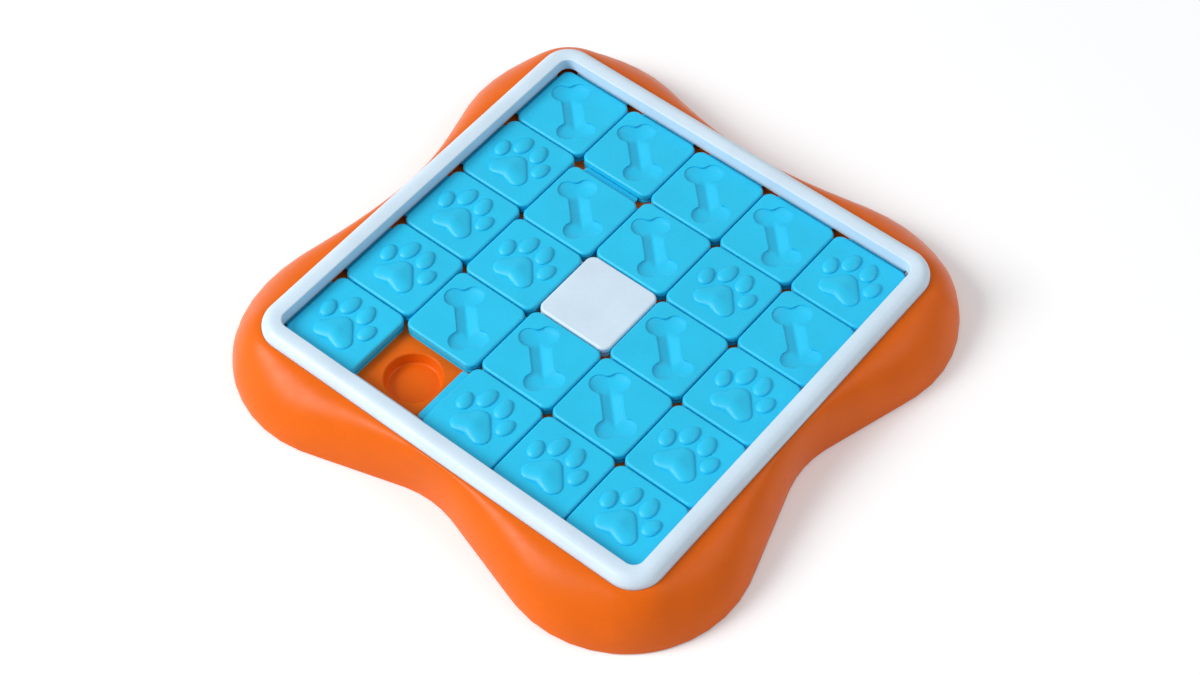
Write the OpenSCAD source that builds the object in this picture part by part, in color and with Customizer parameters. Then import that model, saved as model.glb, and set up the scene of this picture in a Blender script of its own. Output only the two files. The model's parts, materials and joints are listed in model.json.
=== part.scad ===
// Sliding-tile treat puzzle for a dog.
// A lobed tray carries a grid of treat cups. A slide frame holds tongue-and-groove tiles over
// them, with one place left empty, so that the tiles can be pushed about to reach the treats.
// Axes: +Z is up, the floor is z = 0, the origin is under the middle of the board, tile columns
// count along +X and tile rows count along -Y. All sizes are in millimetres.

/* [Board] */
// Distance between the middles of neighbouring tiles
pitch = 50; // [48:0.5:54]
// Gap between neighbouring tiles
tile_gap = 0.8; // [0.6:0.1:1.2]
// Height of the tile tops above the floor
tile_top = 30.5; // [29.5:0.5:33]
// How far the three middle tiles of column 1 are pushed toward the empty place
column_push = 5; // [0:0.5:8]

/* [Tiles] */
// Corner radius of a tile, seen from above
tile_corner = 5.5; // [4.5:0.5:6]
// Rounding of a tile's top edge
tile_edge = 1.6; // [0.8:0.1:2.2]
// Thickness of a tile's cap
cap_thick = 4.1; // [3.6:0.1:4.6]
// Thickness of a tongue
tongue_thick = 1.3; // [1:0.1:1.6]
// How far a tongue reaches beyond its tile's edge
tongue_reach = 5.6; // [4.5:0.1:5.8]
// Thickness of the flange under the grooves
flange_thick = 1.4; // [1.2:0.1:1.8]
// Running clearance of a tongue in a groove, and of a tile over the deck
slide_clearance = 0.3; // [0.25:0.05:0.4]
// Depth of the bone recess
bone_depth = 2.2; // [1.6:0.1:2.4]
// Height of the paw pads above the tile
paw_height = 1.8; // [1.2:0.1:2.2]

/* [Slide frame] */
// Gap between the outer tiles and the frame's inner face
frame_margin = 1.4; // [1:0.1:2]
// Width of the frame's bead, seen from above
bead_width = 11.75; // [10.5:0.25:13]
// Radius of the bead's outer shoulder
bead_shoulder = 6.5; // [5.5:0.25:7]
// Radius of the frame's inner corners
frame_corner = 6.5; // [5:0.5:8]
// Thickness of the rail lip that runs in the outer tiles' grooves
lip_thick = 1.3; // [1:0.1:1.4]

/* [Tray] */
// Half of the distance across the tray at the middle of a side
waist_half = 144.5; // [142.5:0.5:146]
// Radius of the hollow at the middle of a side
waist_radius = 62; // [56:1:68]
// Distance of a lobe's centre from the tray's middle, along X and along Y
lobe_centre = 95; // [92:0.5:98]
// Radius of a lobe on the floor
lobe_radius = 72.5; // [70:0.5:75]
// Fullness of the skirt's curve, from 1 for a straight slope to 2 for a quarter ellipse
skirt_fullness = 1.65; // [1.5:0.05:2.2]
// Wall thickness of the tray
tray_wall = 2.5; // [2:0.1:3]
// Radius of a treat cup at its rim
cup_radius = 17; // [15:0.5:18]
// Depth of a treat cup below the deck
cup_depth = 7.5; // [6:0.5:8]
// Radius of a rubber foot
foot_radius = 8.5; // [7:0.5:8.5]

/* [Hidden] */
$fn = 48;

// One letter a place, row by row: B bone tile, P paw tile, W plain white tile, - empty place
LAYOUT = ["BBBBP", "PBBPB", "PPWBP", "PBBBP", "P-PPP"];
board_places = len(LAYOUT);
last_place = board_places - 1;
TILES = [for (r = [0 : last_place]) for (c = [0 : last_place]) if (LAYOUT[r][c] != "-") [r, c]];

function tile_name(t) =
    let (kind = LAYOUT[t[0]][t[1]])
    kind == "W" ? "centre_tile" : str("tile_r", t[0], "_c", t[1], kind == "B" ? "_bone" : "_paw");

// How far a cutter runs past the face that it opens, and how far a form is sunk into its neighbour
cut_past = 1;
sink = 0.5;

// Tile levels, measured down from the tile's top
tile_half = (pitch - tile_gap) / 2;
groove_height = tongue_thick + 2 * slide_clearance;
cap_under = -cap_thick;
groove_under = cap_under - groove_height;
tile_under = groove_under - flange_thick;
tongue_top = cap_under - slide_clearance;
tongue_tip = tile_half + tongue_reach;
groove_wall = pitch - tongue_tip - slide_clearance;
tongue_end_gap = 0.5;
tongue_half_span = groove_wall - tongue_end_gap;
tongue_round = 1.5;
pocket_rib = 2;
pocket_wall = 2.5;
pocket_outer = groove_wall - pocket_wall;
pocket_half = (pocket_outer - pocket_rib / 2) / 2;
pocket_centre = pocket_rib / 2 + pocket_half;
pocket_into_cap = 0.1;
pocket_roof = cap_under + pocket_into_cap;

// Bone figure: a shaft between two pairs of lobes, along the tile's diagonal
bone_lobe_along = 15.2;
bone_lobe_across = 5.3;
bone_lobe_radius = 6;
bone_shaft_half = 6.2;
bone_end_along = 14;
bone_end_radius = 6;
bone_turn = -45;

// How much deeper or higher the middle form of a figure is than its outer ones
figure_step = 0.1;

// Paw figure: one big pad and four toes, pointing to +Y
pad_lobe_x = 7;
pad_lobe_y = -10.6;
pad_lobe_radius = 5.5;
pad_top_y = -2;
pad_top_radius = 5.3;
pad_middle_y = -7.2;
pad_middle_radius = 7.4;
toe_outer = [14.3, 2.2];
toe_outer_size = [4.4, 6.2];
toe_outer_lean = 12;
toe_inner = [5.8, 11];
toe_inner_size = [4.8, 7];
toe_inner_lean = 8;

// Heights above the floor
deck_top = tile_top + tile_under - slide_clearance;
deck_under = deck_top - tray_wall;
cup_floor = deck_top - cup_depth;
frame_over_tile = 0.3;
seat_below_tile = 1;
seat_deep = 3;
bead_over_tray = 0.3;
frame_under = tile_top + frame_over_tile;
frame_seat = tile_top - seat_below_tile;
skirt_top = frame_seat + seat_deep;
bead_crown = skirt_top + bead_over_tray + bead_shoulder;
above_all = bead_crown + cut_past;
skirt_under = 1;
lip_top = tile_top + tongue_top;

// Slide frame, seen from above: the straight part of each side ends where its corner begins
board_half = pitch * board_places / 2 - tile_gap / 2;
frame_inner = board_half + frame_margin;
frame_straight = frame_inner - frame_corner;
frame_outer = frame_inner + bead_width;
crown_at = bead_width - bead_shoulder;
crown_radius = 20;
inner_edge_round = 0.9;
leg_from = 5.5;
rail_web = 2.5;
rail_reach = frame_inner - (board_half - tile_half + groove_wall + slide_clearance);
hold_rib_from = 2;
hold_rib_wide = 2;
core_slot_from = 7.3;
core_slot_wide = 2.6;
core_slot_deep = 4.5;
core_slot_gap = 6;

// Tray, seen from above
seat_gap = 0.25;
rim_thick = 0.7;
ledge_past_seat = 1;
pan_margin = 6;
seat_half = frame_outer + seat_gap;
skirt_half = seat_half + rim_thick;
pan_inner = frame_inner + pan_margin;
pan_outer = pan_inner + tray_wall;
ledge_half = seat_half + ledge_past_seat;
pan_wall_under = 6;
rib_thick = 1.8;
rib_under = 10;
cup_shell_wall = 1.2;
cup_taper = 1.6;
cup_floor_round = 1.5;
cup_bevel = 0.6;

// Screws through the tray's ledge into the frame
screw_from_inner = 8.9;
screw_line = frame_inner + screw_from_inner;
screw_along = pitch * 1.35;
screw_radius = 1.25;
screw_head_radius = 2.5;
screw_head_thick = 1.8;
screw_grip = 5;
screw_bite = 5;
screw_point = 1;
screw_head_seat = frame_seat - screw_grip;
screw_tip = frame_seat + screw_bite;
screw_loose = 0.35;
screw_tight = 0.1;
screw_head_gap = 0.25;
screw_pass_radius = screw_radius + screw_loose;
screw_pilot_radius = screw_radius + screw_tight;
screw_pilot_spare = 0.7;
screw_bore_radius = screw_head_radius + screw_head_gap;
screw_boss_radius = 4;
screw_boss_under = 8;
driver_slot = 0.7;
driver_deep = 1;

// Feet under the lobes
foot_at = 122;
foot_gap = 0.2;
foot_top = 4;
foot_stem_radius = 2.4;
foot_stem_top = 9;
foot_stem_spare = 1;
foot_edge = 0.8;
post_wall = 2;
post_radius = foot_radius + post_wall;
post_under = 2;

// Loft of the skirt: steps along half a side, round half a corner, and down each wall
side_steps = 13;
corner_steps = 4;
outer_steps = 12;
inner_steps = 7;

orange = "#f47a20";
sky_blue = "#2cc1f5";
pale_blue = "#d3e5f5";
rubber_grey = "#3a3a3c";
steel_grey = "#9a9da0";

// ---- Outlines ----

// Square with round corners, with its straight sides ending at the given distance
module rounded_square(half, corner) {
    straight = half - corner;
    square([2 * half, 2 * straight], center = true);
    square([2 * straight, 2 * half], center = true);
    for (x = [-straight, straight]) {
        for (y = [-straight, straight]) {
            translate([x, y]) circle(corner);
        }
    }
}

// Upright block with a rounded square outline
module rounded_block(half, corner, bottom, top) {
    translate([0, 0, bottom]) linear_extrude(top - bottom) rounded_square(half, corner);
}

// Sweeps a profile round a rounded square. The profile's x is the distance beyond the corner's
// centre, and its y is the height.
module swept_ring(straight) {
    for (q = [0 : 3]) {
        rotate(90 * q) {
            translate([straight, straight, 0]) rotate_extrude(angle = 90) children();
            swept_side(straight) children();
        }
    }
}

// One straight side of such a ring, at +X
module swept_side(straight) {
    translate([straight, 0, 0])
        rotate([90, 0, 0])
            linear_extrude(2 * straight, center = true) children();
}

// Copies its children to each place of the board
module at_each_place() {
    for (r = [0 : last_place]) {
        for (c = [0 : last_place]) {
            translate(place([r, c])) children();
        }
    }
}

// Copies its children to the four corners of a square
module at_corners(reach) {
    for (x = [-reach, reach]) {
        for (y = [-reach, reach]) {
            translate([x, y, 0]) children();
        }
    }
}

// Copies its children to the two screws of each side
module at_screws() {
    for (q = [0 : 3]) {
        for (along = [-screw_along, screw_along]) {
            rotate(90 * q) translate([screw_line, along, 0]) children();
        }
    }
}

// Middle of a place, counted from the +Y row and the -X column
function place(t) = [(t[1] - last_place / 2) * pitch, (last_place / 2 - t[0]) * pitch, 0];

// Radius of the ball whose cap has the given radius at its rim and the given height
function ball_radius(rim, rise) = (rim * rim + rise * rise) / (2 * rise);

// ---- Tiles ----

// Section of a tile's border, with its top edge rounded. Its x starts at the corner's centre.
module tile_border() {
    height = -tile_under;
    square([tile_corner - tile_edge, height]);
    square([tile_corner, height - tile_edge]);
    translate([tile_corner - tile_edge, height - tile_edge]) circle(tile_edge);
}

// Solid block with the tile's outline, from the flange's underside to the tile's top
module tile_block() {
    straight = tile_half - tile_corner;
    translate([0, 0, tile_under]) {
        translate([-straight, -straight, 0]) cube([2 * straight, 2 * straight, -tile_under]);
        swept_ring(straight) tile_border();
    }
}

// Tongue on the -X side
module tongue() {
    translate([0, 0, tongue_top - tongue_thick]) linear_extrude(tongue_thick) {
        translate([-tongue_tip + tongue_round, -tongue_half_span])
            square([tongue_reach, 2 * tongue_half_span]);
        translate([-tongue_tip, -tongue_half_span + tongue_round])
            square([tongue_reach, 2 * (tongue_half_span - tongue_round)]);
        for (side = [-1, 1]) {
            translate([-tongue_tip + tongue_round, side * (tongue_half_span - tongue_round)])
                circle(tongue_round);
        }
    }
}

// Tile without its figure: grooves on the +X and -Y sides, tongues on the -X and +Y sides
module plain_tile() {
    groove_long = 2 * (tile_half + cut_past);
    difference() {
        union() {
            difference() {
                tile_block();
                translate([groove_wall, -tile_half - cut_past, groove_under])
                    cube([tile_half, groove_long, groove_height]);
                translate([-tile_half - cut_past, -tile_half - groove_wall, groove_under])
                    cube([groove_long, tile_half, groove_height]);
            }
            tongue();
            rotate(-90) tongue();
        }
        at_corners(pocket_centre)
            rounded_block(pocket_half, tongue_round, tile_under - cut_past, pocket_roof);
    }
}

// Cutter for the bone recess
module bone() {
    shaft_radius = ball_radius(bone_shaft_half, bone_depth);
    end_depth = bone_depth + figure_step;
    end_radius = ball_radius(bone_end_radius, end_depth);
    lobe_depth = bone_depth - figure_step;
    lobe_ball = ball_radius(bone_lobe_radius, lobe_depth);
    rotate(bone_turn) {
        translate([0, 0, shaft_radius - bone_depth])
            rotate([0, 90, 0]) cylinder(r = shaft_radius, h = 2 * bone_end_along, center = true);
        for (along = [-1, 1]) {
            translate([along * bone_end_along, 0, end_radius - end_depth]) sphere(end_radius);
            for (across = [-1, 1]) {
                translate([along * bone_lobe_along, across * bone_lobe_across, lobe_ball - lobe_depth])
                    sphere(lobe_ball);
            }
        }
    }
}

// Cap of a ball, standing on the tile and sunk a little into it
module pad_cap(x, y, rim, rise) {
    ball = ball_radius(rim, rise);
    translate([x, y, rise - ball]) sphere(ball);
}

module toe(at, size, lean) {
    translate([at[0], at[1], 0]) rotate(lean) scale([size[0], size[1], paw_height]) sphere(1);
}

module paw() {
    intersection() {
        union() {
            pad_cap(0, pad_middle_y, pad_middle_radius, paw_height + figure_step);
            pad_cap(0, pad_top_y, pad_top_radius, paw_height - figure_step);
            for (side = [-1, 1]) {
                pad_cap(side * pad_lobe_x, pad_lobe_y, pad_lobe_radius, paw_height);
            }
        }
        translate([-tile_half, -tile_half, -sink])
            cube([2 * tile_half, 2 * tile_half, paw_height + figure_step + 2 * sink]);
    }
    for (side = [-1, 1]) {
        toe([side * toe_outer[0], toe_outer[1]], toe_outer_size, -side * toe_outer_lean);
        toe([side * toe_inner[0], toe_inner[1]], toe_inner_size, side * toe_inner_lean);
    }
}

// A tile in its place, with the figure that the layout gives it
module tile(t) {
    kind = LAYOUT[t[0]][t[1]];
    pushed = t[1] == 1 && t[0] > 0;
    color(kind == "W" ? pale_blue : sky_blue)
        translate(place(t) + [0, pushed ? -column_push : 0, tile_top]) {
            if (kind == "B") {
                difference() {
                    plain_tile();
                    bone();
                }
            } else {
                plain_tile();
                if (kind == "P") paw();
            }
        }
}

// ---- Slide frame ----

// Section of the bead. Its x is the distance beyond the inner face.
module bead() {
    intersection() {
        translate([crown_at, bead_crown - crown_radius]) circle(crown_radius);
        translate([inner_edge_round, frame_under]) square([crown_at - inner_edge_round, above_all]);
    }
    inner_edge_z = bead_crown - crown_radius
        + sqrt(pow(crown_radius, 2) - pow(crown_at - inner_edge_round, 2)) - inner_edge_round;
    translate([0, frame_under]) square([inner_edge_round + sink, inner_edge_z - frame_under]);
    translate([inner_edge_round, inner_edge_z]) circle(inner_edge_round);
    intersection() {
        translate([crown_at, bead_crown - bead_shoulder]) circle(bead_shoulder);
        translate([crown_at - sink, frame_under]) square([bead_shoulder + cut_past, above_all]);
    }
    translate([leg_from, frame_seat])
        square([bead_width - leg_from, bead_crown - bead_shoulder - frame_seat]);
}

// Lip and web that run in the grooves of the outer tiles, at +X. Two rails meet at a corner.
module rail() {
    z0 = lip_top - lip_thick;
    rail_half = frame_inner + rail_web;
    translate([frame_inner - rail_reach, -rail_half, z0])
        cube([rail_reach + rail_web, 2 * rail_half, lip_thick]);
    translate([frame_inner, -rail_half, z0])
        cube([rail_web, 2 * rail_half, frame_under - z0 + sink]);
}

// Rib that keeps the outer tiles' tongues down, at +X
module hold_rib() {
    z0 = lip_top + slide_clearance;
    translate([frame_inner + hold_rib_from, -frame_straight, z0])
        cube([hold_rib_wide, 2 * frame_straight, frame_under - z0 + sink]);
}

// Slots that core the bead out from below, between the screws of one side
module core_slots() {
    for (span = [[-frame_straight, -screw_along - core_slot_gap],
                 [-screw_along + core_slot_gap, screw_along - core_slot_gap],
                 [screw_along + core_slot_gap, frame_straight]]) {
        translate([frame_inner + core_slot_from, span[0], frame_seat - cut_past])
            cube([core_slot_wide, span[1] - span[0], core_slot_deep + cut_past]);
    }
}

module slide_frame() {
    color(pale_blue) difference() {
        union() {
            swept_ring(frame_straight) translate([frame_corner, 0]) bead();
            rail();
            rotate(-90) rail();
            rotate(90) hold_rib();
            rotate(180) hold_rib();
        }
        for (q = [0 : 3]) {
            rotate(90 * q) core_slots();
        }
        at_screws()
            translate([0, 0, frame_seat - cut_past])
                cylinder(r = screw_pilot_radius, h = screw_bite + screw_pilot_spare + cut_past);
    }
}

// ---- Tray ----

// Distance from the middle to a rounded square, at an angle from the nearest side's normal
function square_reach(angle, half, corner) =
    let (diagonal = (half - corner) * sqrt(2), off = 45 - angle)
    tan(angle) * half <= half - corner
        ? half / cos(angle)
        : diagonal * cos(off) + sqrt(pow(corner, 2) - pow(diagonal * sin(off), 2));

// The floor outline joins a hollow, a straight tangent and a lobe. The tangent's normal:
hollow_centre = waist_half + waist_radius;
centre_link = [-lobe_centre, hollow_centre - lobe_centre];
tangent_turn = acos((lobe_radius + waist_radius) / norm(centre_link));
tangent_normal = atan2(centre_link[1], centre_link[0]) - tangent_turn;
tangent_unit = [cos(tangent_normal), sin(tangent_normal)];
hollow_touch = [0, hollow_centre] - waist_radius * tangent_unit;
lobe_touch = [lobe_centre, lobe_centre] + lobe_radius * tangent_unit;

// Distance from the middle to the floor outline, at an angle from the nearest side's normal
function floor_reach(angle) =
    let (diagonal = lobe_centre * sqrt(2), off = 45 - angle)
    angle < atan2(hollow_touch[0], hollow_touch[1])
        ? hollow_centre * cos(angle) - sqrt(pow(waist_radius, 2) - pow(hollow_centre * sin(angle), 2))
    : angle < atan2(lobe_touch[0], lobe_touch[1])
        ? (hollow_touch * tangent_unit) / ([sin(angle), cos(angle)] * tangent_unit)
        : diagonal * cos(off) + sqrt(pow(lobe_radius, 2) - pow(diagonal * sin(off), 2));

// Turns an angle from +X into an angle from the nearest side's normal
function side_angle(angle) =
    let (turn = angle % 90)
    min(turn, 90 - turn);

skirt_corner = skirt_half - frame_straight;
corner_from = atan(frame_straight / skirt_half);
half_side_angles = concat(
    [for (i = [0 : side_steps - 1]) corner_from * i / side_steps],
    [for (i = [0 : corner_steps - 1]) corner_from + (45 - corner_from) * i / corner_steps]);
quarter_angles = concat(
    half_side_angles,
    [45],
    [for (i = [len(half_side_angles) - 1 : -1 : 1]) 90 - half_side_angles[i]]);
skirt_angles = [for (q = [0 : 3]) for (a = quarter_angles) 90 * q + a];

// Point of the skirt's curve from its top (0) to the floor (90), set in by the wall thickness
function skirt_point(angle, drop, inset) =
    let (
        near = side_angle(angle),
        power = 2 / skirt_fullness,
        top_reach = square_reach(near, skirt_half - inset, skirt_corner - inset),
        reach = top_reach + (floor_reach(near) - inset - top_reach) * pow(sin(drop), power),
        rise = skirt_top - inset - skirt_under
    )
    [reach * cos(angle), reach * sin(angle), skirt_under + rise * pow(cos(drop), power)];

// Closed section of the skirt at an angle: down the outside and up the inside
function skirt_section(angle) =
    let (inner_top = skirt_point(angle, 0, tray_wall))
    concat(
        [for (i = [0 : outer_steps]) skirt_point(angle, 90 * i / outer_steps, 0)],
        [for (i = [inner_steps : -1 : 0]) skirt_point(angle, 90 * i / inner_steps, tray_wall)],
        [[inner_top[0], inner_top[1], skirt_top]]);

// Hollow skirt from the frame's seat down to the floor outline
module skirt() {
    sections = [for (a = skirt_angles) skirt_section(a)];
    around = len(sections);
    points = len(sections[0]);
    polyhedron(
        points = [for (s = sections) each s],
        faces = [
            for (i = [0 : around - 1])
                for (j = [0 : points - 1])
                    let (
                        here = i * points,
                        next = ((i + 1) % around) * points,
                        below = (j + 1) % points
                    )
                    each [[here + j, next + j, next + below], [here + j, next + below, here + below]]
        ]);
}

// Outside of a treat cup, below the deck
module cup_shell() {
    rim_radius = cup_radius + cup_shell_wall;
    translate([0, 0, cup_floor - tray_wall])
        cylinder(r1 = rim_radius - cup_taper, r2 = rim_radius, h = cup_depth + sink);
}

// Hollow of a treat cup: a rounded floor corner, a tapered wall and a bevelled rim
module cup_hollow() {
    floor_radius = cup_radius - cup_taper;
    floor_flat = floor_radius - cup_floor_round;
    rotate_extrude() {
        polygon([
            [0, cup_floor],
            [floor_flat, cup_floor],
            [floor_flat, cup_floor + cup_floor_round],
            [floor_radius, cup_floor + cup_floor_round],
            [cup_radius - cup_bevel, deck_top - cup_bevel],
            [cup_radius, deck_top],
            [cup_radius, deck_top + cut_past],
            [0, deck_top + cut_past]
        ]);
        translate([floor_flat, cup_floor + cup_floor_round]) circle(cup_floor_round);
    }
}

// Stiffening ribs under the deck, along the lines between the cups
module deck_ribs() {
    for (turn = [0, 90]) {
        for (line = [1 : last_place]) {
            rotate(turn)
                translate([(line - board_places / 2) * pitch - rib_thick / 2, -pan_inner - sink, rib_under])
                    cube([rib_thick, 2 * (pan_inner + sink), deck_under - rib_under + sink]);
        }
    }
}

// Box wall round the deck, the deck itself and the ledge that carries the frame
module pan() {
    difference() {
        rounded_block(pan_outer, pan_outer - frame_straight, pan_wall_under, skirt_top - sink);
        rounded_block(pan_inner, pan_inner - frame_straight, pan_wall_under - cut_past, deck_under);
    }
    difference() {
        rounded_block(ledge_half, ledge_half - frame_straight, frame_seat - tray_wall, skirt_top - sink);
        rounded_block(pan_inner + sink, pan_inner + sink - frame_straight, 0, above_all);
    }
}

module base_tray() {
    color(orange) difference() {
        union() {
            skirt();
            pan();
            deck_ribs();
            at_each_place() cup_shell();
            at_corners(foot_at)
                translate([0, 0, post_under]) cylinder(r = post_radius, h = deck_under - post_under + sink);
            at_screws()
                translate([0, 0, screw_boss_under])
                    cylinder(r = screw_boss_radius, h = frame_seat - screw_boss_under - sink);
        }
        rounded_block(pan_inner, pan_inner - frame_straight, deck_top, above_all);
        rounded_block(seat_half, seat_half - frame_straight, frame_seat, above_all);
        at_each_place() cup_hollow();
        at_corners(foot_at) {
            cylinder(r = foot_radius + foot_gap, h = foot_top);
            cylinder(r = foot_stem_radius + foot_gap, h = foot_stem_top + foot_stem_spare);
        }
        at_screws() {
            cylinder(r = screw_bore_radius, h = screw_head_seat);
            cylinder(r = screw_pass_radius, h = above_all);
        }
    }
}

// ---- Fasteners and feet ----

// One screw, head down, with a cross recess
module screw() {
    difference() {
        union() {
            translate([0, 0, screw_head_seat - screw_head_thick])
                cylinder(r = screw_head_radius, h = screw_head_thick);
            translate([0, 0, screw_head_seat - sink])
                cylinder(r = screw_radius, h = screw_tip - screw_point - screw_head_seat + sink);
            translate([0, 0, screw_tip - screw_point])
                cylinder(r1 = screw_radius, r2 = screw_radius / 2, h = screw_point);
        }
        for (turn = [0, 90]) {
            rotate(turn)
                translate([-screw_radius, -driver_slot / 2, screw_head_seat - screw_head_thick - cut_past])
                    cube([2 * screw_radius, driver_slot, driver_deep + cut_past]);
        }
    }
}

module frame_screws() {
    color(steel_grey) at_screws() screw();
}

module rubber_feet() {
    color(rubber_grey) at_corners(foot_at) {
        cylinder(r1 = foot_radius - foot_edge, r2 = foot_radius, h = foot_edge);
        translate([0, 0, foot_edge]) cylinder(r = foot_radius, h = foot_top - foot_edge);
        cylinder(r = foot_stem_radius, h = foot_stem_top);
    }
}

base_tray();
slide_frame();
frame_screws();
rubber_feet();
for (t = TILES) {
    tile(t);
}
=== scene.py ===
import json
import math

import bpy
from mathutils import Matrix, Vector


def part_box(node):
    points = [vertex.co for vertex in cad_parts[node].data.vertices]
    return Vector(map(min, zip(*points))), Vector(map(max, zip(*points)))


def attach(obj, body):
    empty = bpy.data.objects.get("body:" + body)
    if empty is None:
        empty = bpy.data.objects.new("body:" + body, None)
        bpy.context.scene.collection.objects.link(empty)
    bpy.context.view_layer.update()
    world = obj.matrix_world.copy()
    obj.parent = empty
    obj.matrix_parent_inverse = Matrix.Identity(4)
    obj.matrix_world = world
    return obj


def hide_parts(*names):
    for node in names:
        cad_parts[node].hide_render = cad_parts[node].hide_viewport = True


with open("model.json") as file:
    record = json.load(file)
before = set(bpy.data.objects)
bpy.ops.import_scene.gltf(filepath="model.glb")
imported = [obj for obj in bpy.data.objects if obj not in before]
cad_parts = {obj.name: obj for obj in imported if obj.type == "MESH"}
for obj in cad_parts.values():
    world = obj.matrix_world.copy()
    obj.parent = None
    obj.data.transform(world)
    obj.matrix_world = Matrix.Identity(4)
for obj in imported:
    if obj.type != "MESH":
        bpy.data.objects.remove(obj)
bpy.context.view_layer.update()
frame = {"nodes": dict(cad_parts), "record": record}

bl_info = {
    "name": "Treat Puzzle Dresser",
    "version": (1, 0, 0),
    "blender": (4, 5, 0),
    "location": "View3D > Sidebar > Treat Puzzle",
    "description": "Finishes a sliding-tile treat puzzle for dogs around its CAD frame",
    "category": "Object",
}

MM = 0.001
BLANK_NODE = "centre_tile"
TILE_NODES = sorted(n for n in frame["nodes"] if n.startswith("tile_"))
BONE_NODES = [n for n in TILE_NODES if n.endswith("_bone")]
PAW_NODES = [n for n in TILE_NODES if n.endswith("_paw")]
BODY_OF = {
    node: body
    for body, nodes in frame["record"]["behaviour"]["bodies"].items()
    for node in nodes
}
TILE_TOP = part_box(BLANK_NODE)[1].z
WHITE = (1, 1, 1, 1)

# How finely the round forms are built and melted, and how close points are that merge
BALL_SEGMENTS = 48
BALL_RINGS = 32
POST_SIDES = 64
MELT_VOXEL = 0.4 * MM
MELT_FACTOR = 0.5
WELD_GAP = 0.002 * MM
SLIVER_GAP = 0.02 * MM
SLIVER_SIZE = 0.01 * MM

# Degrees above which an edge stays crisp, and how much large faces rule the shading
TRAY_CREASE = 28
BONE_CREASE = 26
CREASE = 32
LARGE_FACE_WEIGHT = 100

# The bone recess in millimetres, from the tile's middle, before it is turned to the diagonal
BONE_SHAFT_HALF = 6.2
BONE_END_ALONG = 14
BONE_END_RADIUS = 6
BONE_LOBE_ALONG = 15.2
BONE_LOBE_ACROSS = 5.3
BONE_LOBE_RADIUS = 6.3
BONE_OUTLINE_TALL = 5
BONE_OUTLINE_PASSES = 80
BONE_VALLEY_HALF = 7.6
BONE_VALLEY_PASSES = 64
BONE_BASIN = (11.2, 18)
BONE_BASIN_RISE = 6
BONE_BASIN_SHARE = 0.95
BONE_STEP = 0.4
BONE_REACH = (24, 15)
BONE_TURN = -45

# The forms of the big pad's right half in millimetres: middle, half sizes, share of its height
PAD_FORMS = (
    ("pad_lobe", (7.3, -10.1), (5.8, 5.8), 0.84),
    ("pad_top", (0, -2.0), (6.0, 6.0), 0.88),
    ("pad_middle", (0, -8.0), (6.2, 6.2), 1.35),
)
PAD_PASSES = 10
# The toes of the right half in millimetres: middle, half sizes, lean to the left in degrees
TOES = (
    ((14.3, 2.2), (4.4, 6.2), -12),
    ((5.8, 11.0), (4.8, 7.0), 8),
)
TOE_TAPER = 0.13
PAW_SUNK = 0.6 * MM

# Noise patterns of the materials: waves in a metre, detail, roughness
PIGMENT = (38, 4, 0.5)
SPECKS = (900, 2, 0.5)
RUB = (120, 5, 0.6)
SINK_MARKS = (22, 2, 0.5)
DUST = (300, 5, 0.65)
RUBBER_GRAIN = (1800, 2, 0.5)
ZINC = (700, 4, 0.6)
GRAIN_DETAIL = (3, 0.6)
# Most of a noise pattern lies between these values
NOISE_SPAN = (0.3, 0.7)

# How strongly the patterns show in the moulded plastics
PIGMENT_SHADES = (0.955, 1.04)
SPECK_SHADE = 0.965
RUB_STEPS = (-0.05, 0.06)
SINK_STRENGTH = 0.5
GRAIN_STRENGTH = 0.6
PLASTIC_IOR = 1.49
# Specular level, waves of grain in a metre, depth of the grain and of the sink marks
TRAY_SKIN = (0.16, 1100, 0.02 * MM, 0.12 * MM)
FRAME_SKIN = (0.3, 1300, 0.012 * MM, 0.06 * MM)
TILE_SKIN = (0.38, 1500, 0.26 * MM, 0.05 * MM)

# Rubber and zinc-plated steel: shade of the pattern, span of roughness, depth and strength of
# the bumps
DUST_SHADE = 2.2
RUBBER_ROUGHNESS = (0.7, 0.9)
RUBBER_BUMPS = (0.05 * MM, 0.7)
ZINC_SHADE = 0.8
ZINC_ROUGHNESS = (0.25, 0.45)
ZINC_BUMPS = (0.02 * MM, 0.5)

# The stage in metres, its camera in degrees, and its sensor in millimetres
FLOOR_SIZE = 12
FLOOR_ROUGHNESS = 0.9
# Distances from the middle between which the floor's lift grows
FLOOR_FADE = (0.6, 3.5)
SKY_COLOUR = (0.97, 0.985, 1, 1)
KEY_PLACE = (-1.6, -1.9, 1.95)
KEY_SIZE = 1.4
FILL_PLACE = (1.4, 0.9, 1.5)
FILL_SIZE = 1.1
CAMERA_PLACE = (0.50892, -0.63726, 1.11808)
CAMERA_TURN = (36.0239, -0.2170, 38.8450)
SENSOR_WIDTH = 36
CLIP_START = 0.05


# ---- Settings ----

class TraySettings(bpy.types.PropertyGroup):
    colour: bpy.props.FloatVectorProperty(
        name="Colour", description="Colour of the tray's plastic",
        subtype="COLOR", size=3, min=0, max=1, default=(0.8, 0.135, 0.004))
    roughness: bpy.props.FloatProperty(
        name="Roughness", description="Roughness of the satin surface",
        min=0, max=1, default=0.34)


class FrameSettings(bpy.types.PropertyGroup):
    colour: bpy.props.FloatVectorProperty(
        name="Colour", description="Colour of the slide frame and the plain tile",
        subtype="COLOR", size=3, min=0, max=1, default=(0.66, 0.8, 0.92))
    roughness: bpy.props.FloatProperty(
        name="Roughness", description="Roughness of the frame's surface",
        min=0, max=1, default=0.34)


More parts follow.
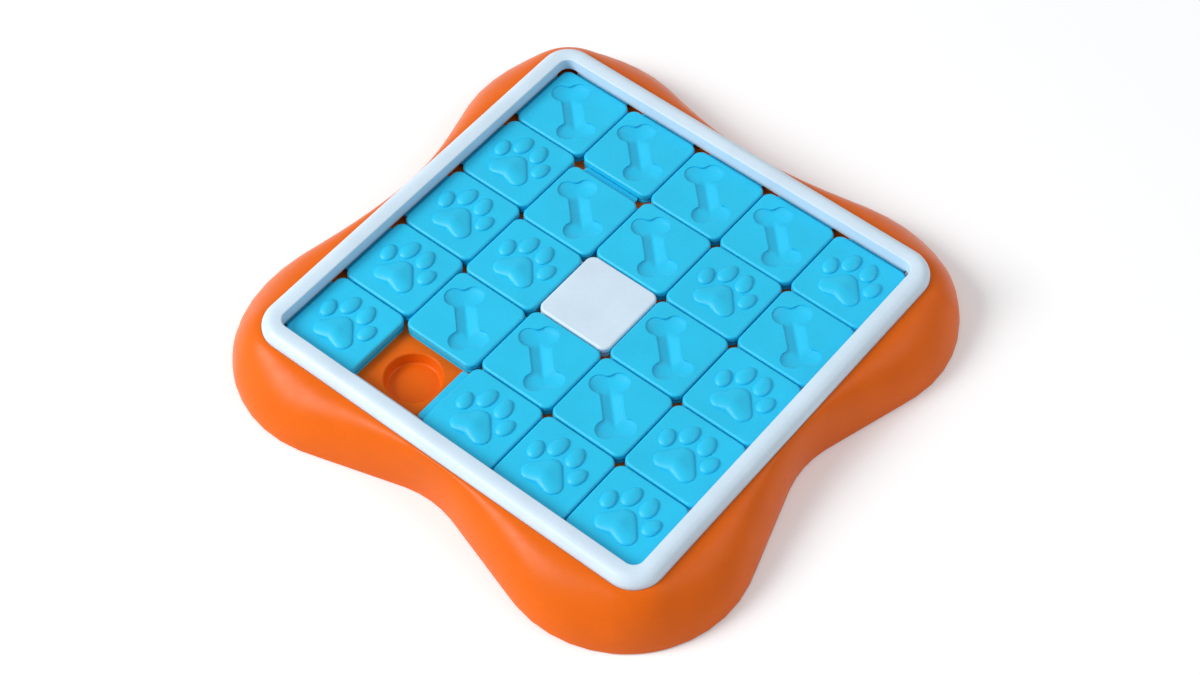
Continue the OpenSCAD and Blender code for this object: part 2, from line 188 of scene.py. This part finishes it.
class TileSettings(bpy.types.PropertyGroup):
    colour: bpy.props.FloatVectorProperty(
        name="Colour", description="Colour of the bone and paw tiles",
        subtype="COLOR", size=3, min=0, max=1, default=(0.014, 0.55, 0.85))
    roughness: bpy.props.FloatProperty(
        name="Roughness", description="Roughness of the tiles' fine-grained surface",
        min=0, max=1, default=0.38)
    bone_depth: bpy.props.FloatProperty(
        name="Bone depth", description="Depth of the bone recess",
        subtype="DISTANCE", unit="LENGTH", min=0.001, max=0.0035, default=0.0033)
    pad_height: bpy.props.FloatProperty(
        name="Pad height", description="Height of the paw's big pad above the tile",
        subtype="DISTANCE", unit="LENGTH", min=0.001, max=0.0025, default=0.0024)
    toe_height: bpy.props.FloatProperty(
        name="Toe height", description="Height of the paw's toes above the tile",
        subtype="DISTANCE", unit="LENGTH", min=0.001, max=0.003, default=0.0024)


class HardwareSettings(bpy.types.PropertyGroup):
    rubber: bpy.props.FloatVectorProperty(
        name="Rubber", description="Colour of the feet",
        subtype="COLOR", size=3, min=0, max=1, default=(0.035, 0.035, 0.038))
    steel: bpy.props.FloatVectorProperty(
        name="Steel", description="Colour of the screws",
        subtype="COLOR", size=3, min=0, max=1, default=(0.56, 0.57, 0.59))


class StageSettings(bpy.types.PropertyGroup):
    floor: bpy.props.FloatVectorProperty(
        name="Floor", description="Colour of the floor",
        subtype="COLOR", size=3, min=0, max=1, default=(0.95, 0.95, 0.955))
    floor_lift: bpy.props.FloatProperty(
        name="Floor lift", description="Light of its own that the floor shows near the object",
        min=0, max=1, default=0.13)
    far_lift: bpy.props.FloatProperty(
        name="Far lift", description="Light of its own that the floor shows far from the object",
        min=0, max=1, default=0.6)
    world_strength: bpy.props.FloatProperty(
        name="Sky strength", description="Level of the even light from all round",
        min=0, max=2, default=0.39)
    key_power: bpy.props.FloatProperty(
        name="Key power", description="Power of the main softbox",
        subtype="POWER", unit="POWER", min=0, max=400, default=85)
    fill_power: bpy.props.FloatProperty(
        name="Fill power", description="Power of the weak softbox on the far side",
        subtype="POWER", unit="POWER", min=0, max=200, default=8)
    lens: bpy.props.FloatProperty(
        name="Lens", description="Focal length of the camera in millimetres",
        min=20, max=200, default=73.08)


# ---- Modelling helpers ----

def deselect_all():
    if bpy.context.mode != "OBJECT":
        bpy.ops.object.mode_set(mode="OBJECT")
    bpy.ops.object.select_all(action="DESELECT")


def pick(*objects):
    """Selects only these objects and makes the first one active."""
    deselect_all()
    for obj in objects:
        obj.select_set(True)
    bpy.context.view_layer.objects.active = objects[0]


def open_mesh(obj):
    """Goes into edit mode with the whole mesh selected."""
    pick(obj)
    bpy.ops.object.mode_set(mode="EDIT")
    bpy.ops.mesh.select_all(action="SELECT")


def close_mesh():
    bpy.ops.object.mode_set(mode="OBJECT")


def finish_modifier(obj, kind, **values):
    """Adds a modifier with these values and applies it."""
    pick(obj)
    modifier = obj.modifiers.new(kind.title(), kind)
    for key, value in values.items():
        setattr(modifier, key, value)
    bpy.ops.object.modifier_apply(modifier=modifier.name)


def added(name):
    """Names the primitive that was just added and fixes its place into its mesh."""
    obj = bpy.context.object
    obj.name = name
    bpy.ops.object.transform_apply(location=True, rotation=True, scale=True)
    return obj


def joined(name, parts):
    pick(*parts)
    bpy.ops.object.join()
    obj = bpy.context.object
    obj.name = name
    return obj


def ball(name, middle, size):
    """Ellipsoid with these half sizes, in millimetres."""
    deselect_all()
    bpy.ops.mesh.primitive_uv_sphere_add(
        segments=BALL_SEGMENTS, ring_count=BALL_RINGS, radius=MM,
        location=Vector(middle) * MM, scale=size)
    return added(name)


def post(name, place, radius):
    """Upright round post through the tile's top, in millimetres."""
    deselect_all()
    bpy.ops.mesh.primitive_cylinder_add(
        vertices=POST_SIDES, radius=radius * MM, depth=2 * BONE_OUTLINE_TALL * MM,
        location=(place[0] * MM, place[1] * MM, 0))
    return added(name)


def melt(obj, passes):
    """Fuses overlapping forms into one skin and softens the creases where they meet."""
    finish_modifier(obj, "REMESH", mode="VOXEL", voxel_size=MELT_VOXEL)
    finish_modifier(obj, "SMOOTH", factor=MELT_FACTOR, iterations=passes)


def stretched_over(name, parts):
    """One convex skin over several forms."""
    obj = joined(name, parts)
    open_mesh(obj)
    bpy.ops.mesh.convex_hull()
    close_mesh()
    return obj


def keep_above(obj, height):
    """Cuts off all of the object that is below a height and closes the cut."""
    open_mesh(obj)
    bpy.ops.mesh.bisect(
        plane_co=(0, 0, height), plane_no=(0, 0, 1), use_fill=True, clear_inner=True)
    close_mesh()


def swept_clean(obj):
    """Merges the slivers that a cut leaves along its edge."""
    open_mesh(obj)
    bpy.ops.mesh.remove_doubles(threshold=SLIVER_GAP)
    bpy.ops.mesh.dissolve_degenerate(threshold=SLIVER_SIZE)
    bpy.ops.mesh.delete_loose()
    close_mesh()


def smooth_finish(obj, crease):
    """Shades round faces smooth, keeps edges above this angle crisp and flat faces flat."""
    pick(obj)
    bpy.ops.object.shade_smooth_by_angle(angle=math.radians(crease))
    finish_modifier(obj, "WEIGHTED_NORMAL", keep_sharp=True, weight=LARGE_FACE_WEIGHT)


def merged_copy(node, name):
    """A copy of a CAD node's mesh as one connected skin."""
    copy = bpy.data.objects.new(name, frame["nodes"][node].data.copy())
    bpy.context.scene.collection.objects.link(copy)
    copy.data.materials.clear()
    pick(copy)
    if copy.data.has_custom_normals:
        bpy.ops.mesh.customdata_custom_splitnormals_clear()
    open_mesh(copy)
    bpy.ops.mesh.remove_doubles(threshold=WELD_GAP)
    close_mesh()
    return copy


def stand_in(obj, node, material):
    """Finishes a piece: gives it its material, hides the node that it stands for and attaches it to
    the body that it rides on.
    """
    obj.data.materials.clear()
    obj.data.materials.append(material)
    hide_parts(node)
    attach(obj, BODY_OF[node])


def finish_node(node, name, material, crease=CREASE):
    """Makes a finished piece that keeps the shape of its CAD node."""
    piece = merged_copy(node, name)
    smooth_finish(piece, crease)
    stand_in(piece, node, material)


def settings(name):
    return getattr(bpy.context.scene, name)


# ---- Materials ----

def plain_nodes(name):
    """A material and its node tree, or no tree if the material was made before."""
    material = bpy.data.materials.get(name)
    if material is not None:
        return material, None
    material = bpy.data.materials.new(name)
    material.use_nodes = True
    return material, material.node_tree


def noise(tree, coordinates, scale, detail, roughness):
    node = tree.nodes.new("ShaderNodeTexNoise")
    node.inputs["Scale"].default_value = scale
    node.inputs["Detail"].default_value = detail
    node.inputs["Roughness"].default_value = roughness
    tree.links.new(coordinates, node.inputs["Vector"])
    return node.outputs["Fac"]


def ranged(tree, value, low, high, span=NOISE_SPAN):
    """Maps a span of values to the range from low to high."""
    node = tree.nodes.new("ShaderNodeMapRange")
    node.inputs["From Min"].default_value = span[0]
    node.inputs["From Max"].default_value = span[1]
    node.inputs["To Min"].default_value = low
    node.inputs["To Max"].default_value = high
    tree.links.new(value, node.inputs["Value"])
    return node.outputs["Result"]


def mixed_colour(tree, value, first, second):
    node = tree.nodes.new("ShaderNodeMix")
    node.data_type = "RGBA"
    node.inputs["A"].default_value = (*first, 1)
    node.inputs["B"].default_value = (*second, 1)
    tree.links.new(value, node.inputs["Factor"])
    return node.outputs["Result"]


def bumped(tree, height, distance, strength, normal=None):
    node = tree.nodes.new("ShaderNodeBump")
    node.inputs["Distance"].default_value = distance
    node.inputs["Strength"].default_value = strength
    tree.links.new(height, node.inputs["Height"])
    if normal is not None:
        tree.links.new(normal, node.inputs["Normal"])
    return node.outputs["Normal"]


def shade(colour, factor):
    return tuple(min(1, c * factor) for c in colour)


def moulded_plastic(name, colour, roughness, sheen, grain, grain_depth, waviness):
    """Satin injection-moulded plastic: mottled pigment, spark-eroded grain, faint sink marks."""
    material, tree = plain_nodes(name)
    if tree is None:
        return material
    shader = tree.nodes["Principled BSDF"]
    coordinates = tree.nodes.new("ShaderNodeTexCoord").outputs["Object"]
    cloud = noise(tree, coordinates, *PIGMENT)
    speck = noise(tree, coordinates, *SPECKS)
    dark, light = (shade(colour, factor) for factor in PIGMENT_SHADES)
    base = mixed_colour(tree, ranged(tree, cloud, 0, 1), dark, light)
    specked = tree.nodes.new("ShaderNodeMix")
    specked.data_type = "RGBA"
    specked.blend_type = "MULTIPLY"
    specked.inputs["Factor"].default_value = 1
    tree.links.new(base, specked.inputs["A"])
    specks = mixed_colour(tree, ranged(tree, speck, 0, 1), (SPECK_SHADE,) * 3, (1,) * 3)
    tree.links.new(specks, specked.inputs["B"])
    tree.links.new(specked.outputs["Result"], shader.inputs["Base Color"])
    rub = noise(tree, coordinates, *RUB)
    smoother, rougher = (roughness + step for step in RUB_STEPS)
    tree.links.new(ranged(tree, rub, smoother, rougher), shader.inputs["Roughness"])
    sink = bumped(tree, noise(tree, coordinates, *SINK_MARKS), waviness, SINK_STRENGTH)
    pattern = noise(tree, coordinates, grain, *GRAIN_DETAIL)
    fine = bumped(tree, pattern, grain_depth, GRAIN_STRENGTH, sink)
    tree.links.new(fine, shader.inputs["Normal"])
    shader.inputs["IOR"].default_value = PLASTIC_IOR
    shader.inputs["Specular IOR Level"].default_value = sheen
    return material


def tray_plastic():
    values = settings("puzzle_tray")
    return moulded_plastic("tray_orange", tuple(values.colour), values.roughness, *TRAY_SKIN)


def frame_plastic():
    values = settings("puzzle_frame")
    return moulded_plastic("frame_pale_blue", tuple(values.colour), values.roughness, *FRAME_SKIN)


def tile_plastic():
    values = settings("puzzle_tiles")
    return moulded_plastic("tile_sky_blue", tuple(values.colour), values.roughness, *TILE_SKIN)


def foot_rubber():
    material, tree = plain_nodes("foot_rubber")
    if tree is None:
        return material
    shader = tree.nodes["Principled BSDF"]
    coordinates = tree.nodes.new("ShaderNodeTexCoord").outputs["Object"]
    colour = tuple(settings("puzzle_hardware").rubber)
    dust = noise(tree, coordinates, *DUST)
    dusty = mixed_colour(tree, ranged(tree, dust, 0, 1), colour, shade(colour, DUST_SHADE))
    tree.links.new(dusty, shader.inputs["Base Color"])
    tree.links.new(ranged(tree, dust, *RUBBER_ROUGHNESS), shader.inputs["Roughness"])
    fine = bumped(tree, noise(tree, coordinates, *RUBBER_GRAIN), *RUBBER_BUMPS)
    tree.links.new(fine, shader.inputs["Normal"])
    return material


def screw_steel():
    material, tree = plain_nodes("screw_steel")
    if tree is None:
        return material
    shader = tree.nodes["Principled BSDF"]
    shader.inputs["Metallic"].default_value = 1
    coordinates = tree.nodes.new("ShaderNodeTexCoord").outputs["Object"]
    colour = tuple(settings("puzzle_hardware").steel)
    zinc = noise(tree, coordinates, *ZINC)
    plated = mixed_colour(tree, ranged(tree, zinc, 0, 1), shade(colour, ZINC_SHADE), colour)
    tree.links.new(plated, shader.inputs["Base Color"])
    tree.links.new(ranged(tree, zinc, *ZINC_ROUGHNESS), shader.inputs["Roughness"])
    tree.links.new(bumped(tree, zinc, *ZINC_BUMPS), shader.inputs["Normal"])
    return material


def seen_directly(tree):
    """1 for rays from the camera and rays in reflections, 0 for diffuse light."""
    rays = tree.nodes.new("ShaderNodeLightPath")
    either = tree.nodes.new("ShaderNodeMath")
    either.operation = "MAXIMUM"
    tree.links.new(rays.outputs["Is Camera Ray"], either.inputs[0])
    tree.links.new(rays.outputs["Is Glossy Ray"], either.inputs[1])
    return either.outputs["Value"]


def floor_paint():
    """Pale floor that keeps shadows. Seen directly or in a reflection, it is lifted to white."""
    material, tree = plain_nodes("stage_floor")
    if tree is None:
        return material
    values = settings("puzzle_stage")
    shader = tree.nodes["Principled BSDF"]
    shader.inputs["Base Color"].default_value = (*values.floor, 1)
    shader.inputs["Roughness"].default_value = FLOOR_ROUGHNESS
    shader.inputs["Specular IOR Level"].default_value = 0
    shader.inputs["Emission Color"].default_value = WHITE
    coordinates = tree.nodes.new("ShaderNodeTexCoord").outputs["Object"]
    reach = tree.nodes.new("ShaderNodeVectorMath")
    reach.operation = "LENGTH"
    tree.links.new(coordinates, reach.inputs[0])
    lift = tree.nodes.new("ShaderNodeMath")
    lift.operation = "MULTIPLY"
    tree.links.new(seen_directly(tree), lift.inputs[0])
    level = ranged(
        tree, reach.outputs["Value"], values.floor_lift, values.far_lift, FLOOR_FADE)
    tree.links.new(level, lift.inputs[1])
    tree.links.new(lift.outputs["Value"], shader.inputs["Emission Strength"])
    return material


# ---- Tiles ----

def turned_and_moved(degrees, shift):
    """A turn about the upright axis, then a shift."""
    return Matrix.Translation(shift) @ Matrix.Rotation(math.radians(degrees), 4, "Z")


def bone_cutter(depth):
    """What is cut away for the bone: a valley within a bone's outline, at the blank tile."""
    deselect_all()
    bpy.ops.mesh.primitive_cube_add(
        size=MM, scale=(2 * BONE_END_ALONG, 2 * BONE_SHAFT_HALF, 2 * BONE_OUTLINE_TALL))
    parts = [added("bone_shaft")]
    for along in (-1, 1):
        parts.append(post("bone_end", (along * BONE_END_ALONG, 0), BONE_END_RADIUS))
        for across in (-1, 1):
            place = (along * BONE_LOBE_ALONG, across * BONE_LOBE_ACROSS)
            parts.append(post("bone_lobe", place, BONE_LOBE_RADIUS))
    cutter = joined("bone_outline", parts)
    melt(cutter, BONE_OUTLINE_PASSES)

    # The prism has four sides, so its lower edge is the valley's bottom line
    deselect_all()
    bpy.ops.mesh.primitive_cylinder_add(
        vertices=4, radius=MM, depth=2 * BONE_END_ALONG * MM, rotation=(0, math.pi / 2, 0),
        scale=(depth, BONE_VALLEY_HALF, 1))
    parts = [added("bone_valley")]
    deselect_all()
    bpy.ops.mesh.primitive_cube_add(size=2 * MM, scale=(*BONE_REACH, BONE_STEP))
    parts.append(added("bone_step"))
    for along in (-1, 1):
        middle = (along * BONE_END_ALONG, 0, BONE_BASIN_RISE)
        size = (*BONE_BASIN, BONE_BASIN_RISE + BONE_BASIN_SHARE * depth)
        parts.append(ball("bone_basin", middle, size))
    valley = joined("bone_valley", parts)
    melt(valley, BONE_VALLEY_PASSES)
    finish_modifier(cutter, "BOOLEAN", operation="INTERSECT", solver="EXACT", object=valley)
    bpy.data.objects.remove(valley)
    cutter.data.transform(turned_and_moved(BONE_TURN, (0, 0, TILE_TOP)))
    return cutter


def toe(place, size, lean, height):
    """Egg-shaped pad, fuller at its heel than at its tip."""
    pad = ball("toe_pad", (0, 0, 0), (size[0], size[1], height))
    for vertex in pad.data.vertices:
        along = vertex.co.y / (size[1] * MM)
        vertex.co.x *= 1 - TOE_TAPER * along
    pad.data.transform(turned_and_moved(lean, (place[0] * MM, place[1] * MM, 0)))
    return pad


def paw_pads(big_height, toe_height):
    """The raised paw: one big pad with three soft corners, and four toes."""
    halves = []
    for side in (-1, 1):
        forms = [ball(name, (side * x, y, 0), (*size, share * big_height / MM))
                 for name, (x, y), size, share in PAD_FORMS]
        halves.append(stretched_over("pad_half", forms))
    big = joined("big_pad", halves)
    melt(big, PAD_PASSES)
    pads = [big]
    for side in (-1, 1):
        for (x, y), size, lean in TOES:
            pads.append(toe((side * x, y), size, side * lean, toe_height / MM))
    paw = joined("paw_pads", pads)
    keep_above(paw, -PAW_SUNK)
    paw.data.transform(Matrix.Translation((0, 0, TILE_TOP)))
    return paw


def placed_copy(pattern, node):
    """Copies the finished pattern tile to the place of a tile node, with its own mesh."""
    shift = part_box(node)[0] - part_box(BLANK_NODE)[0]
    mesh = pattern.data.copy()
    mesh.transform(Matrix.Translation((shift.x, shift.y, 0)))
    tile = bpy.data.objects.new(f"{node}_finished", mesh)
    bpy.context.scene.collection.objects.link(tile)
    return tile


def spread(pattern, nodes):
    """Puts a finished copy of the pattern tile at each of these nodes and drops the pattern."""
    for node in nodes:
        stand_in(placed_copy(pattern, node), node, tile_plastic())
    bpy.data.objects.remove(pattern)


# ---- Operators ----

class PUZZLE_OT_tray(bpy.types.Operator):
    """Finish the lobed tray with its deck, cups and ribs"""
    bl_idname = "puzzle.tray"
    bl_label = "Tray"

    def execute(self, context):
        finish_node("base_tray", "tray_shell", tray_plastic(), TRAY_CREASE)
        return {"FINISHED"}


class PUZZLE_OT_frame(bpy.types.Operator):
    """Finish the slide frame with its bead and rails"""
    bl_idname = "puzzle.frame"
    bl_label = "Slide Frame"

    def execute(self, context):
        finish_node("slide_frame", "slide_frame_bead", frame_plastic())
        return {"FINISHED"}


class PUZZLE_OT_bone_tiles(bpy.types.Operator):
    """Model one tile with a sunk bone and copy it to each bone place"""
    bl_idname = "puzzle.bone_tiles"
    bl_label = "Bone Tiles"

    def execute(self, context):
        pattern = merged_copy(BLANK_NODE, "bone_pattern")
        cutter = bone_cutter(settings("puzzle_tiles").bone_depth / MM)
        finish_modifier(
            pattern, "BOOLEAN", operation="DIFFERENCE", solver="EXACT", object=cutter)
        bpy.data.objects.remove(cutter)
        swept_clean(pattern)
        smooth_finish(pattern, BONE_CREASE)
        spread(pattern, BONE_NODES)
        return {"FINISHED"}


class PUZZLE_OT_paw_tiles(bpy.types.Operator):
    """Model one tile with a raised paw and copy it to each paw place"""
    bl_idname = "puzzle.paw_tiles"
    bl_label = "Paw Tiles"

    def execute(self, context):
        values = settings("puzzle_tiles")
        blank = merged_copy(BLANK_NODE, "paw_blank")
        paw = paw_pads(values.pad_height, values.toe_height)
        pattern = joined("paw_pattern", [blank, paw])
        smooth_finish(pattern, CREASE)
        spread(pattern, PAW_NODES)
        return {"FINISHED"}


class PUZZLE_OT_centre_tile(bpy.types.Operator):
    """Finish the plain tile in the middle"""
    bl_idname = "puzzle.centre_tile"
    bl_label = "Centre Tile"

    def execute(self, context):
        finish_node(
            BLANK_NODE, "centre_tile_finished", frame_plastic())
        return {"FINISHED"}


class PUZZLE_OT_hardware(bpy.types.Operator):
    """Finish the feet and the screws"""
    bl_idname = "puzzle.hardware"
    bl_label = "Feet and Screws"

    def execute(self, context):
        finish_node("rubber_feet", "non_slip_feet", foot_rubber())
        finish_node("frame_screws", "self_tapping_screws", screw_steel())
        return {"FINISHED"}


def softbox(name, place, size, power):
    """Square lamp that is aimed at the middle of the floor."""
    deselect_all()
    turn = (-Vector(place)).to_track_quat("-Z", "Y").to_euler()
    bpy.ops.object.light_add(type="AREA", location=place, rotation=turn)
    lamp = bpy.context.object
    lamp.name = name
    lamp.data.shape = "SQUARE"
    lamp.data.size = size
    lamp.data.energy = power


class PUZZLE_OT_stage(bpy.types.Operator):
    """Set up the floor, the light and the camera"""
    bl_idname = "puzzle.stage"
    bl_label = "Stage"

    def execute(self, context):
        values = settings("puzzle_stage")
        deselect_all()
        bpy.ops.mesh.primitive_plane_add(size=FLOOR_SIZE, location=(0, 0, 0))
        floor = added("stage_floor")
        floor.data.materials.append(floor_paint())

        world = bpy.data.worlds.new("stage_sky")
        world.use_nodes = True
        tree = world.node_tree
        sky = tree.nodes["Background"]
        sky.inputs["Color"].default_value = SKY_COLOUR
        sky.inputs["Strength"].default_value = values.world_strength
        backdrop = tree.nodes.new("ShaderNodeBackground")
        backdrop.inputs["Color"].default_value = WHITE
        backdrop.inputs["Strength"].default_value = 1
        mix = tree.nodes.new("ShaderNodeMixShader")
        tree.links.new(seen_directly(tree), mix.inputs["Fac"])
        tree.links.new(sky.outputs["Background"], mix.inputs[1])
        tree.links.new(backdrop.outputs["Background"], mix.inputs[2])
        tree.links.new(mix.outputs["Shader"], tree.nodes["World Output"].inputs["Surface"])
        context.scene.world = world

        softbox("key_softbox", KEY_PLACE, KEY_SIZE, values.key_power)
        softbox("fill_softbox", FILL_PLACE, FILL_SIZE, values.fill_power)

        turn = tuple(math.radians(a) for a in CAMERA_TURN)
        bpy.ops.object.camera_add(location=CAMERA_PLACE, rotation=turn)
        camera = context.object
        camera.name = "stage_camera"
        camera.data.lens = values.lens
        camera.data.sensor_width = SENSOR_WIDTH
        camera.data.clip_start = CLIP_START
        context.scene.camera = camera
        context.scene.view_settings.view_transform = "Standard"
        return {"FINISHED"}


# ---- Add-on ----

SETTINGS = {
    "puzzle_tray": TraySettings,
    "puzzle_frame": FrameSettings,
    "puzzle_tiles": TileSettings,
    "puzzle_hardware": HardwareSettings,
    "puzzle_stage": StageSettings,
}
OPERATORS = (
    PUZZLE_OT_tray,
    PUZZLE_OT_frame,
    PUZZLE_OT_bone_tiles,
    PUZZLE_OT_paw_tiles,
    PUZZLE_OT_centre_tile,
    PUZZLE_OT_hardware,
    PUZZLE_OT_stage,
)


class PUZZLE_PT_panel(bpy.types.Panel):
    """Lists the settings and the steps of the puzzle's finish"""
    bl_idname = "PUZZLE_PT_panel"
    bl_label = "Treat Puzzle"
    bl_space_type = "VIEW_3D"
    bl_region_type = "UI"
    bl_category = "Treat Puzzle"

    def draw(self, context):
        for name, group in SETTINGS.items():
            box = self.layout.box()
            for key in group.__annotations__:
                box.prop(settings(name), key)
        for operator in OPERATORS:
            self.layout.operator(operator.bl_idname)


def register():
    for group in SETTINGS.values():
        bpy.utils.register_class(group)
    for name, group in SETTINGS.items():
        setattr(bpy.types.Scene, name, bpy.props.PointerProperty(type=group))
    for operator in OPERATORS:
        bpy.utils.register_class(operator)
    bpy.utils.register_class(PUZZLE_PT_panel)


def unregister():
    bpy.utils.unregister_class(PUZZLE_PT_panel)
    for operator in reversed(OPERATORS):
        bpy.utils.unregister_class(operator)
    for name, group in SETTINGS.items():
        delattr(bpy.types.Scene, name)
        bpy.utils.unregister_class(group)


def main():
    register()
    bpy.ops.puzzle.tray()
    bpy.ops.puzzle.frame()
    bpy.ops.puzzle.bone_tiles()
    bpy.ops.puzzle.paw_tiles()
    bpy.ops.puzzle.centre_tile()
    bpy.ops.puzzle.hardware()
    bpy.ops.puzzle.stage()


if __name__ == "__main__":
    main()
